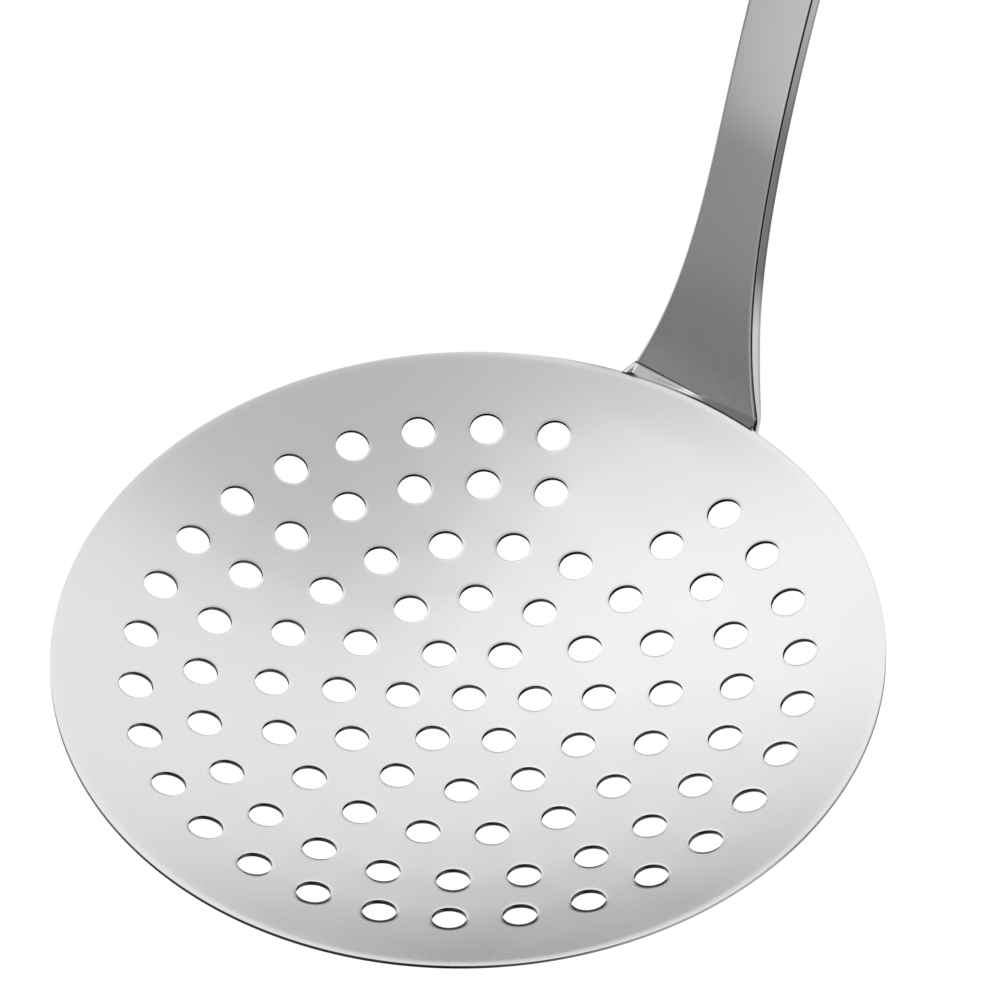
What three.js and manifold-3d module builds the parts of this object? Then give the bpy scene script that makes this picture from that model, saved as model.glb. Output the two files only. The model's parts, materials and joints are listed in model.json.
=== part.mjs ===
// Perforated skimmer of stainless steel: a shallow round dish welded to a long bent handle.
// Millimetres, +Z up. The skimmer lies on its back, on the heel of its foot and the tip of its grip,
// with the handle along +Y and the dish standing up at the -Y end.
import * as THREE from 'three';
import { mergeVertices } from 'three/addons/utils/BufferGeometryUtils.js';
import Module from 'manifold-3d';

// Dish, pressed from sheet into a part of a sphere.
const RIM_RADIUS = 60;
const DISH_DEPTH = 10;
const SHEET = 0.6;

// Holes: one in the centre and rings round it, each ring with six more than the one inside it.
const HOLE_DIAMETER = 4.9;
const RING_RADII = [9.5, 18.7, 28.3, 38.5, 47.6];
const HOLES_ADDED_PER_RING = 6;
const RIM_MARGIN = 6;
// Near the foot the sheet stays whole, so the outer rings leave out their holes there.
const BLANK_WIDTH = 14;
const BLANK_FROM_RADIUS = 33;

// Handle, measured along its front face: a flared foot, a straight stem, a bend and a straight grip.
const STEM_ANGLE = THREE.MathUtils.degToRad(69.7);
const STEM_LENGTH = 40;
const BEND_RADIUS = 265;
const BEND_ANGLE = THREE.MathUtils.degToRad(15);
const GRIP_LENGTH = 180;

// Handle sections: width, thickness and edge rounding of the neck and of the grip. The foot is forged
// wide and thin, and it reaches below the rim's lower edge.
const FOOT_WIDTH = 21.6;
const FOOT_THICKNESS = 1.9;
const FOOT_DROP = 2;
const FLARE_LENGTH = 60;
const FLARE_POWER = 4;
const THINNING_POWER = 12;
const NECK_WIDTH = 9.8;
const NECK_THICKNESS = 3;
const NECK_EDGE_RADIUS = 0.45;
const SWELL_LENGTH = 170;
const GRIP_WIDTH = 19;
const GRIP_THICKNESS = 7.5;
const GRIP_EDGE_RADIUS = 1.6;

// Hollow grip: two welded shells over a tang of the neck, with a tube that lines the hanging hole.
const SHELL_WALL = 0.8;
const SEAM_DEPTH = 1.9;
const TANG_LENGTH = 14;
const EYE_WIDTH = 8;
const EYE_LENGTH = 18;
const EYE_WALL = 0.8;
const EYE_MARGIN = 6;

// Fillet of weld metal between the foot's front face and the rim.
const WELD_REACH = 1.6;
const WELD_RISE = 2.2;

// Clearance between pieces that meet.
const GAP = 0.3;
// An edge's rounding takes at most this share of the section's thickness.
const ROUNDEST = 0.45;

// Smoothness of the facets.
const RIM_SIDES = 72;
const DISH_DETAIL = 16;
const HOLE_SIDES = 12;
const NECK_STATIONS = 18;
const GRIP_STATIONS = 10;
const EDGE_DIVISIONS = 1;
const EYE_DIVISIONS = 8;
const WELD_DIVISIONS = 4;

const wasm = await Module();
wasm.setup();

// A solid for cutting and joining, from any closed geometry.
function solidFrom(geometry) {
  const bare = new THREE.BufferGeometry();
  bare.setAttribute('position', geometry.getAttribute('position'));
  bare.setIndex(geometry.index);
  const welded = mergeVertices(bare);
  const corners = Array.from(welded.index.array);
  const triangles = [];
  for (let i = 0; i < corners.length; i += 3) {
    const triangle = corners.slice(i, i + 3);
    if (new Set(triangle).size === 3) triangles.push(...triangle);
  }
  return new wasm.Manifold(new wasm.Mesh({
    numProp: 3,
    vertProperties: welded.getAttribute('position').array,
    triVerts: Uint32Array.from(triangles),
  }));
}

// A named piece of the skimmer, from a finished solid.
function piece(name, solid, material) {
  const mesh = solid.getMesh();
  const geometry = new THREE.BufferGeometry();
  geometry.setAttribute('position', new THREE.BufferAttribute(mesh.vertProperties, mesh.numProp));
  geometry.setIndex(new THREE.BufferAttribute(mesh.triVerts, 1));
  const part = new THREE.Mesh(geometry, material);
  part.name = name;
  return part;
}

function steel(color, roughness) {
  return new THREE.MeshStandardMaterial({ color, roughness, metalness: 1, flatShading: true });
}

// A closed skin through rings of points, every ring convex and with the same number of corners.
function loft(rings) {
  const count = rings[0].length;
  const faces = [];
  for (let ring = 1; ring < rings.length; ring += 1) {
    for (let corner = 0; corner < count; corner += 1) {
      const next = (corner + 1) % count;
      const near = (ring - 1) * count;
      const far = ring * count;
      faces.push(near + corner, far + corner, far + next);
      faces.push(near + corner, far + next, near + next);
    }
  }
  const last = (rings.length - 1) * count;
  for (let corner = 1; corner < count - 1; corner += 1) {
    faces.push(0, corner, corner + 1);
    faces.push(last, last + corner + 1, last + corner);
  }
  const geometry = new THREE.BufferGeometry().setFromPoints(rings.flat());
  geometry.setIndex(faces);
  return solidFrom(geometry);
}

// Evenly spaced values from the first to the last, both included.
function spread(first, last, count) {
  return Array.from({ length: count }, (_, i) => THREE.MathUtils.lerp(first, last, i / (count - 1)));
}

// Dish: the holes' axes all point at the centre of the sphere that the dish is part of.
const sphereRadius = (RIM_RADIUS ** 2 + DISH_DEPTH ** 2) / (2 * DISH_DEPTH);
const sphereHeight = sphereRadius - DISH_DEPTH;
const rimLowerEdge = sphereHeight - Math.sqrt((sphereRadius + SHEET) ** 2 - RIM_RADIUS ** 2);

function ball(radius) {
  const geometry = new THREE.IcosahedronGeometry(radius, DISH_DETAIL);
  geometry.translate(0, 0, sphereHeight);
  return solidFrom(geometry);
}

function holePlaces() {
  const places = [{ radius: 0, angle: 0 }];
  const fitting = RING_RADII.filter((radius) => radius + HOLE_DIAMETER / 2 + RIM_MARGIN <= RIM_RADIUS);
  fitting.forEach((radius, ring) => {
    const count = (ring + 1) * HOLES_ADDED_PER_RING;
    const outermost = ring === RING_RADII.length - 1;
    for (let i = 0; i < count; i += 1) {
      const angle = (i + (outermost ? 0.5 : 0)) * 2 * Math.PI / count;
      const sideways = Math.abs(radius * Math.sin(angle));
      const towardFoot = Math.cos(angle) > 0 && radius > BLANK_FROM_RADIUS;
      if (!(towardFoot && sideways < BLANK_WIDTH / 2)) places.push({ radius, angle });
    }
  });
  return places;
}

// A slim cone with its point high over the dish, as wide as a hole where it passes the sheet.
function holeCutter({ radius, angle }) {
  const above = sphereRadius / 3;
  const below = 2 * SHEET;
  const baseRadius = HOLE_DIAMETER / 2 * (above + below) / above;
  const cutter = new THREE.ConeGeometry(baseRadius, above + below, HOLE_SIDES);
  cutter.rotateX(Math.PI / 2);
  cutter.translate(0, 0, (above - below) / 2 - sphereRadius - SHEET / 2);
  cutter.rotateX(Math.asin(radius / sphereRadius));
  cutter.rotateZ(angle);
  cutter.translate(0, 0, sphereHeight);
  return solidFrom(cutter);
}

// The dish is the slice between two balls, trimmed round.
function makeBowl() {
  const blank = new THREE.CylinderGeometry(RIM_RADIUS, RIM_RADIUS, 4 * (DISH_DEPTH + SHEET), RIM_SIDES);
  blank.rotateX(Math.PI / 2);
  const dish = solidFrom(blank).intersect(ball(sphereRadius + SHEET)).subtract(ball(sphereRadius));
  return holePlaces().reduce((solid, place) => solid.subtract(holeCutter(place)), dish);
}

// Handle: the foot's front face clears the rim's lower edge, and its bottom is cut level.
const neckLength = STEM_LENGTH + BEND_RADIUS * BEND_ANGLE;
const gripAngle = STEM_ANGLE - BEND_ANGLE;
const footY = RIM_RADIUS + GAP - rimLowerEdge / Math.tan(STEM_ANGLE);
const footBottom = rimLowerEdge - FOOT_DROP;

// The front face in the plane of symmetry, as (y, z), at a distance along it from the rim's height.
function frontFace(run) {
  const straight = Math.min(run, STEM_LENGTH);
  const turn = Math.max(run - STEM_LENGTH, 0) / BEND_RADIUS;
  const angle = STEM_ANGLE - turn;
  const point = new THREE.Vector2(
    footY + straight * Math.cos(STEM_ANGLE) + BEND_RADIUS * (Math.sin(STEM_ANGLE) - Math.sin(angle)),
    straight * Math.sin(STEM_ANGLE) + BEND_RADIUS * (Math.cos(angle) - Math.cos(STEM_ANGLE)),
  );
  return { point, angle };
}

// The handle's size at a distance along it: the foot's flare and thinness die out, then the grip swells.
function handleSize(run) {
  const { clamp, lerp, smoothstep } = THREE.MathUtils;
  const nearness = clamp(1 - run / FLARE_LENGTH, 0, 1);
  const flare = nearness ** FLARE_POWER;
  const thinning = nearness ** THINNING_POWER;
  const swell = smoothstep(run, FLARE_LENGTH, FLARE_LENGTH + SWELL_LENGTH);
  return {
    width: lerp(NECK_WIDTH, GRIP_WIDTH, swell) + (FOOT_WIDTH - NECK_WIDTH) * flare,
    thickness: lerp(NECK_THICKNESS, GRIP_THICKNESS, swell) - (NECK_THICKNESS - FOOT_THICKNESS) * thinning,
    edge: lerp(NECK_EDGE_RADIUS, GRIP_EDGE_RADIUS, swell),
  };
}

// A rounded rectangle whose top edge is the handle's front face; an inset leaves a wall round it.
function section({ width, thickness, edge }, inset = 0) {
  const right = width / 2 - inset;
  const top = -inset;
  const bottom = inset - thickness;
  const radius = Math.min(Math.max(edge - inset, NECK_EDGE_RADIUS), ROUNDEST * (top - bottom));
  const outline = new THREE.Shape();
  outline.absarc(right - radius, top - radius, radius, 0, Math.PI / 2);
  outline.absarc(radius - right, top - radius, radius, Math.PI / 2, Math.PI);
  outline.absarc(radius - right, bottom + radius, radius, Math.PI, 3 * Math.PI / 2);
  outline.absarc(right - radius, bottom + radius, radius, 3 * Math.PI / 2, 2 * Math.PI);
  return outline.getPoints(EDGE_DIVISIONS);
}

function neckRing(run) {
  const { point, angle } = frontFace(run);
  return section(handleSize(run)).map(({ x, y }) => new THREE.Vector3(
    x,
    point.x - y * Math.sin(angle),
    point.y + y * Math.cos(angle),
  ));
}

// The grip's own frame: its front face is the plane z = 0 and it runs along +Y from the neck's end.
const grip = new THREE.Group();
const neckEnd = frontFace(neckLength).point;
grip.position.set(0, neckEnd.x, neckEnd.y);
grip.rotation.x = gripAngle;
grip.updateMatrix();

function makeNeck() {
  const bar = loft(spread(2 * footBottom, neckLength, NECK_STATIONS).map(neckRing));
  const below = new THREE.BoxGeometry(2 * FOOT_WIDTH, 2 * FOOT_WIDTH, FOOT_WIDTH);
  below.translate(0, footY, footBottom - FOOT_WIDTH / 2);
  const { width, thickness } = handleSize(neckLength);
  const clear = 2 * (SHELL_WALL + GAP);
  const tang = new THREE.BoxGeometry(width - clear, 2 * TANG_LENGTH, thickness - clear);
  tang.translate(0, 0, -thickness / 2);
  tang.applyMatrix4(grip.matrix);
  return bar.subtract(solidFrom(below)).add(solidFrom(tang));
}

// An oval in the grip's plane, as wide and long as the hanging hole with a margin all round.
function eyeOval(margin) {
  const radius = EYE_WIDTH / 2 + margin;
  const centre = GRIP_LENGTH - EYE_MARGIN - EYE_LENGTH / 2;
  const reach = (EYE_LENGTH - EYE_WIDTH) / 2;
  const oval = new THREE.Shape();
  oval.absarc(0, centre + reach, radius, 0, Math.PI);
  oval.absarc(0, centre - reach, radius, Math.PI, 2 * Math.PI);
  return oval;
}

// A flat outline of the grip given thickness, from just above its front face to just below its back.
function through(outline, depth, top) {
  const options = { depth, bevelEnabled: false, curveSegments: EYE_DIVISIONS };
  const slab = new THREE.ExtrudeGeometry(outline, options);
  slab.translate(0, 0, top - depth);
  return solidFrom(slab);
}

function makeGripShells() {
  const gripSize = (y) => handleSize(neckLength + y);
  const body = (inset, start) => {
    const rings = spread(start, GRIP_LENGTH, GRIP_STATIONS).map(
      (y) => section(gripSize(y), inset).map(({ x, y: z }) => new THREE.Vector3(x, y, z)),
    );
    const endRadius = gripSize(GRIP_LENGTH).width / 2;
    const plan = new THREE.Shape();
    plan.moveTo(-endRadius, start - GAP);
    plan.lineTo(endRadius, start - GAP);
    plan.absarc(0, GRIP_LENGTH - endRadius, endRadius - inset, 0, Math.PI);
    return loft(rings).intersect(through(plan, 2 * GRIP_THICKNESS, GRIP_THICKNESS / 2));
  };
  const bored = body(0, GAP)
    .subtract(body(SHELL_WALL, 0))
    .subtract(through(eyeOval(EYE_WALL + GAP), 2 * GRIP_THICKNESS, GRIP_THICKNESS / 2));
  const half = (low, high) => {
    const slab = new THREE.BoxGeometry(2 * GRIP_WIDTH, 2 * GRIP_LENGTH, high - low);
    slab.translate(0, GRIP_LENGTH / 2, (low + high) / 2);
    return bored.intersect(solidFrom(slab));
  };
  return {
    front: half(GAP / 2 - SEAM_DEPTH, GRIP_THICKNESS),
    back: half(-2 * GRIP_THICKNESS, -GAP / 2 - SEAM_DEPTH),
  };
}

function makeEyelet() {
  const tube = eyeOval(EYE_WALL);
  tube.holes.push(eyeOval(0));
  const { thickness } = handleSize(neckLength + GRIP_LENGTH);
  return through(tube, thickness, 0);
}

// The weld's section is a triangle with a hollow slope, and its ends are mitred.
function makeFootWeld() {
  const slope = 1 / Math.tan(STEM_ANGLE);
  const back = footY - GAP / Math.sin(STEM_ANGLE);
  const top = new THREE.Vector2(back + WELD_RISE * slope, WELD_RISE);
  const toe = new THREE.Vector2(RIM_RADIUS - WELD_REACH, GAP);
  const fillet = new THREE.Shape();
  fillet.moveTo(toe.x, toe.y);
  fillet.lineTo(back + GAP * slope, GAP);
  fillet.lineTo(top.x, top.y);
  fillet.quadraticCurveTo(RIM_RADIUS - WELD_REACH / 3, WELD_RISE / 3, toe.x, toe.y);
  const options = { depth: FOOT_WIDTH, bevelEnabled: false, curveSegments: WELD_DIVISIONS };
  const bar = new THREE.ExtrudeGeometry(fillet, options);
  bar.translate(0, 0, -FOOT_WIDTH / 2);
  bar.applyMatrix4(new THREE.Matrix4().makeBasis(
    new THREE.Vector3(0, 1, 0),
    new THREE.Vector3(0, 0, 1),
    new THREE.Vector3(1, 0, 0),
  ));
  const miter = new THREE.Shape();
  const half = FOOT_WIDTH / 2 - WELD_REACH;
  miter.moveTo(-half, toe.x - GAP);
  miter.lineTo(half, toe.x - GAP);
  miter.lineTo(FOOT_WIDTH / 2, top.x + GAP);
  miter.lineTo(-FOOT_WIDTH / 2, top.x + GAP);
  return solidFrom(bar).intersect(through(miter, 2 * WELD_RISE, 2 * WELD_RISE));
}

const satin = steel(0xd2d2d0, 0.34);
const brushed = steel(0xbdbdbc, 0.3);
const polished = steel(0xd8d8d8, 0.16);

// The dish is level here: its rim lies in the plane z = 0, with the handle rising over +Y.
const level = new THREE.Group();
level.add(piece('bowl', makeBowl(), satin));
level.add(piece('handle_neck', makeNeck(), brushed));
level.add(piece('foot_weld', makeFootWeld(), polished));
level.add(grip);
const shells = makeGripShells();
grip.add(piece('grip_front_shell', shells.front, brushed));
grip.add(piece('grip_back_shell', shells.back, brushed));
grip.add(piece('hanging_eyelet', makeEyelet(), polished));

// Laid down, the line from the foot's heel to the grip's tip becomes the surface that carries it.
const heel = new THREE.Vector2(
  footY + footBottom / Math.tan(STEM_ANGLE) + FOOT_THICKNESS / Math.sin(STEM_ANGLE),
  footBottom,
);
const tip = new THREE.Vector3(0, GRIP_LENGTH, -handleSize(neckLength + GRIP_LENGTH).thickness);
tip.applyMatrix4(grip.matrix);
level.rotation.x = -Math.atan2(tip.z - heel.y, tip.y - heel.x);
const box = new THREE.Box3().setFromObject(level, true);
level.position.set(0, -(box.min.y + box.max.y) / 2, -box.min.z);

const skimmer = new THREE.Group();
skimmer.add(level);

export default skimmer;
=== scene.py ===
import json
import math

import bmesh
import bpy
from mathutils import Matrix, Vector


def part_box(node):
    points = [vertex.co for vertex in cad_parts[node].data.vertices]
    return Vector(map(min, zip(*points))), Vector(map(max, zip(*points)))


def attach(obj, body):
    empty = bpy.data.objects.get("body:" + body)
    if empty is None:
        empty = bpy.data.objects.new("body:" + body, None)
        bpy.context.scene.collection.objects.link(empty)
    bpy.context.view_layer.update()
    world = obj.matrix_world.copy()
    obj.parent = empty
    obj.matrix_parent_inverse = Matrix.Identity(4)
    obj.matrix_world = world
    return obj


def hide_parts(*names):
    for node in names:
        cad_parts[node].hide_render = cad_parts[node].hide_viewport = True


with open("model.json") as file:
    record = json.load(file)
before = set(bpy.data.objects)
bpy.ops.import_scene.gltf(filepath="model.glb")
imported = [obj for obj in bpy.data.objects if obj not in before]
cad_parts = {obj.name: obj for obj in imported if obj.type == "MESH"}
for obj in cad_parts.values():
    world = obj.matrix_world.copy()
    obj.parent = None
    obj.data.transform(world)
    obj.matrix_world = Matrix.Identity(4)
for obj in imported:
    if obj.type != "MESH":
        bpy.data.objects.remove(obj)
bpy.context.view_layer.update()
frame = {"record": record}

# Dish: a disc of stainless sheet, punched with a centre hole and five rings of holes, then pressed
# into part of a sphere. The face has a fine satin finish. Painted shade darkens the walls of the
# holes and the rim's outer wall, and painted dark lines run along the outer edges of the low holes
# and along the rim in front and on the right.
MM = 0.001
RIM_RADIUS = 60 * MM
DISH_DEPTH = 10 * MM
SHEET = 0.6 * MM
HOLE_RADIUS = 2.45 * MM
RING_RADII = [9.5 * MM, 18.7 * MM, 28.3 * MM, 38.5 * MM, 47.6 * MM]
HOLES_ADDED_PER_RING = 6
BLANK_WIDTH = 14 * MM
BLANK_FROM = 33 * MM
HOLE_EDGE = 0.03 * MM
HOLE_ROLL = 0.5 * MM
ROLL_DROP = 0.04 * MM
HOLE_BURR = 0.1 * MM
HOLE_MARGIN = 0.9 * MM
ROLL_SHARES = (1, 0.75, 0.5, 0.25)
BURR_SHARE = 0.5
HOLE_WALL_SHARE = 0.7
RIM_TRIM = 0.2 * MM
RIM_EDGE = 0.04 * MM
RIM_BAND = 8.6 * MM
LIP_WIDTH = 1.4 * MM
LIP_DROP = 0.1 * MM
BAND_SHARES = (1, 0.7, 0.4)
LIP_SHARES = (1, 0.75, 0.5, 0.25, 0.12)
RIM_WALL_SHARE = 0.3
EDGE_TURNS = [math.radians(angle) for angle in (0, 30, 60, 90)]
HOLE_SIDES = 28
RIM_SIDES = 240
GRIP_RISE = math.radians(54.7)
MERGE_DISTANCE = 0.001 * MM
DISH_SHARP = math.radians(60)
GRAIN_DETAIL = 3.0
GRAIN_ROUGHNESS = 0.6
GRAIN_RANGE = (0.3, 0.7)
CLOUD_SCALE = 55.0
GRAIN_SHARE = 0.35
DULL_PATCH = 0.965
DISH_GRAIN = 2600.0
DISH_RELIEF = 0.0005 * MM
DISH_ROUGHNESS = (0.26, 0.31)
SATIN_STEEL = (0.785, 0.785, 0.783)
# The colour of the painted shade on the dish's hole walls, rim wall and dark lines.
DISH_PAINTED_SHADE = (0.05, 0.05, 0.05)
# Painted shade: its share on the rim's outer wall, and where painted dark lines run on the low holes
# and the rim.
RIM_WALL_SHADE = 0.55
LOW_SIDE = (0.57, -0.82, 0)
LOW_FROM = 26 * MM
LOW_FULL = 46 * MM
LINE_REACH = 0.75
LINE_SOFTNESS = 0.1
RIM_LINE = 0.1 * MM
FRONT_LINE_SIDE = (-0.07, -1, 0)
FRONT_LINE_RANGE = (0.64, 0.83)
RIGHT_LINE_SIDE = (0.985, 0.165, 0)
RIGHT_LINE_RANGE = (0.88, 0.97)
RIGHT_LINE_SHARE = 0.8

# The dish's own frame has its rim in the plane z = 0 and the handle over +Y. It follows from the
# top of the rim and from the grip, which leans back from the rim's plane by the rise given above.
sphere_radius = (RIM_RADIUS ** 2 + DISH_DEPTH ** 2) / (2 * DISH_DEPTH)
sphere_height = sphere_radius - DISH_DEPTH
rim_lower_edge = sphere_height - math.sqrt((sphere_radius + SHEET) ** 2 - RIM_RADIUS ** 2)
grip_mount = frame["record"]["mounts"][0]
tilt = GRIP_RISE + math.asin(grip_mount["axis"][1])
rim_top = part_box("bowl")[1]
dish_centre = (0, rim_top.y - RIM_RADIUS * math.cos(tilt), rim_top.z - RIM_RADIUS * math.sin(tilt))
dish_frame = Matrix.Translation(dish_centre) @ Matrix.Rotation(-tilt, 4, "X")


def add(tree, kind, inputs=(), **settings):
    """A new node with its settings. Each input gets a value or is joined to another node's socket."""
    new = tree.nodes.new(kind)
    for name, value in settings.items():
        setattr(new, name, value)
    for key, value in dict(inputs).items():
        if isinstance(value, bpy.types.NodeSocket):
            tree.links.new(value, new.inputs[key])
        else:
            new.inputs[key].default_value = value
    return new


def maths(tree, operation, *values):
    """One step of arithmetic on numbers."""
    return add(tree, "ShaderNodeMath", enumerate(values), operation=operation).outputs[0]


def vectors(tree, operation, *values):
    """One step of arithmetic on vectors that gives a vector."""
    return add(tree, "ShaderNodeVectorMath", enumerate(values), operation=operation).outputs[0]


def dot(tree, value, direction):
    """How far a vector reaches along a direction."""
    pair = {0: value, 1: direction}
    return add(tree, "ShaderNodeVectorMath", pair, operation="DOT_PRODUCT").outputs["Value"]


def scaled(tree, vector, factor):
    """A vector times a number."""
    pair = {0: vector, "Scale": factor}
    return add(tree, "ShaderNodeVectorMath", pair, operation="SCALE").outputs[0]


def smooth_step(tree, value, low, high):
    """0 below low, 1 above high, and a smooth step between them."""
    return add(tree, "ShaderNodeMapRange", {
        "Value": value, "From Min": low, "From Max": high,
    }, interpolation_type="SMOOTHSTEP").outputs["Result"]


def total(tree, *terms):
    """The sum of some sizes, each with its factor."""
    result = 0.0
    for factor, size in terms:
        result = maths(tree, "MULTIPLY_ADD", size, factor, result)
    return result


def mixed_colour(tree, share, first, second):
    """A colour between two. A mix node's colours are its inputs 6 and 7 and its output 2."""
    inputs = {"Factor": share, 6: first, 7: second}
    return add(tree, "ShaderNodeMix", inputs, data_type="RGBA").outputs[2]


def satin_grain():
    """The finish that all the steel shares: fine scratches and cloudy patches centimetres wide."""
    tree = bpy.data.node_groups.new("satin grain", "ShaderNodeTree")
    for name, kind, direction in (
        ("Vector", "NodeSocketVector", "INPUT"),
        ("Grain Scale", "NodeSocketFloat", "INPUT"),
        ("Roughness Low", "NodeSocketFloat", "INPUT"),
        ("Roughness High", "NodeSocketFloat", "INPUT"),
        ("Grain", "NodeSocketFloat", "OUTPUT"),
        ("Cloud", "NodeSocketFloat", "OUTPUT"),
        ("Roughness", "NodeSocketFloat", "OUTPUT"),
    ):
        tree.interface.new_socket(name, in_out=direction, socket_type=kind)
    given = tree.nodes.new("NodeGroupInput").outputs
    grain = add(tree, "ShaderNodeTexNoise", {
        "Vector": given["Vector"], "Scale": given["Grain Scale"],
        "Detail": GRAIN_DETAIL, "Roughness": GRAIN_ROUGHNESS,
    }).outputs["Fac"]
    cloud = add(tree, "ShaderNodeTexNoise", {
        "Vector": given["Vector"], "Scale": CLOUD_SCALE,
    }).outputs["Fac"]
    mixed = total(tree, (GRAIN_SHARE, grain), (1 - GRAIN_SHARE, cloud))
    rough = add(tree, "ShaderNodeMapRange", {
        "Value": mixed, "From Min": GRAIN_RANGE[0], "From Max": GRAIN_RANGE[1],
        "To Min": given["Roughness Low"], "To Max": given["Roughness High"],
    }).outputs["Result"]
    add(tree, "NodeGroupOutput", {"Grain": grain, "Cloud": cloud, "Roughness": rough})
    return tree


grain_group = satin_grain()


def steel(
    name, colour, edge_colour, roughness, grain_scale, relief,
    stretch=(1, 1, 1), brushed=0.0, edge_gloss=1.0,
):
    """Stainless steel that takes the edge colour where the mesh's edge mask is 1.

    The grain is stretched along the axes given. Steel brushed along the handle spreads its highlights
    across it. The edge gloss is the share of the roughness that is left on edges.
    """
    material = bpy.data.materials.new(name)
    material.use_nodes = True
    tree = material.node_tree
    shader = tree.nodes["Principled BSDF"]
    place = add(tree, "ShaderNodeTexCoord").outputs["Object"]
    along = add(tree, "ShaderNodeMapping", {"Vector": place, "Scale": stretch}).outputs["Vector"]
    grain = add(tree, "ShaderNodeGroup", {
        "Vector": along, "Grain Scale": grain_scale,
        "Roughness Low": roughness[0], "Roughness High": roughness[1],
    }, node_tree=grain_group).outputs
    dull_and_shade = tuple(DULL_PATCH * part for part in colour)
    face = mixed_colour(tree, grain["Cloud"], (*dull_and_shade, 1), (*colour, 1))
    edge = add(tree, "ShaderNodeAttribute", attribute_name="edge").outputs["Fac"]
    tint = mixed_colour(tree, edge, face, (*edge_colour, 1))
    tree.links.new(tint, shader.inputs["Base Color"])
    share = maths(tree, "MULTIPLY_ADD", edge, edge_gloss - 1, 1.0)
    rough = maths(tree, "MULTIPLY", grain["Roughness"], share)
    tree.links.new(rough, shader.inputs["Roughness"])
    bump = add(tree, "ShaderNodeBump", {"Height": grain["Grain"], "Distance": relief})
    tree.links.new(bump.outputs["Normal"], shader.inputs["Normal"])
    shader.inputs["Metallic"].default_value = 1.0
    if brushed:
        across = add(
            tree, "ShaderNodeVectorTransform", {0: (1, 0, 0)},
            vector_type="VECTOR", convert_from="OBJECT", convert_to="WORLD",
        ).outputs[0]
        tree.links.new(across, shader.inputs["Tangent"])
        shader.inputs["Anisotropic"].default_value = brushed
    return material


def collar(tree, sides, rows):
    """A band of rings round the axis. Each row is a radius and a depth below the upper face."""
    place = add(tree, "GeometryNodeInputPosition").outputs[0]
    outward = vectors(tree, "NORMALIZE", vectors(tree, "MULTIPLY", place, (1, 1, 0)))
    band = add(tree, "GeometryNodeMeshCircle", {"Vertices": sides}).outputs[0]
    newest = True
    for number, (radius, depth) in enumerate(rows):
        if number:
            step = add(tree, "GeometryNodeExtrudeMesh", {
                "Mesh": band, "Selection": newest, "Offset Scale": 0.0,
            }, mode="EDGES")
            band, newest = step.outputs["Mesh"], step.outputs["Top"]
        drop = add(tree, "ShaderNodeCombineXYZ", {"Z": total(tree, (-1, depth))}).outputs[0]
        ring = scaled(tree, outward, radius)
        band = add(tree, "GeometryNodeSetPosition", {
            "Geometry": band, "Selection": newest, "Position": vectors(tree, "ADD", ring, drop),
        }).outputs[0]
    return band


def stored(tree, geometry, name, value):
    """The geometry with a number kept at each of its points, under a name."""
    return add(tree, "GeometryNodeStoreNamedAttribute", {
        "Geometry": geometry, "Name": name, "Value": value,
    }, data_type="FLOAT", domain="POINT").outputs[0]


def named(tree, name):
    """The number kept under a name."""
    read = add(tree, "GeometryNodeInputNamedAttribute", {"Name": name}, data_type="FLOAT")
    return read.outputs[0]


def outline_curve(tree, sides, radius):
    """A closed curve with straight sides round the axis."""
    circle = add(tree, "GeometryNodeMeshCircle", {"Vertices": sides, "Radius": radius}).outputs[0]
    return add(tree, "GeometryNodeMeshToCurve", {"Mesh": circle}).outputs[0]


def joined(tree, *parts):
    """Some geometry as one, in the order given."""
    join = tree.nodes.new("GeometryNodeJoinGeometry")
    for part in reversed(parts):
        tree.links.new(part, join.inputs[0])
    return join.outputs[0]


def spread_over(tree, points, shape):
    """The shape at every point, as real geometry."""
    copies = add(tree, "GeometryNodeInstanceOnPoints", {"Points": points, "Instance": shape})
    return add(tree, "GeometryNodeRealizeInstances", {"Geometry": copies.outputs[0]}).outputs[0]


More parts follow.
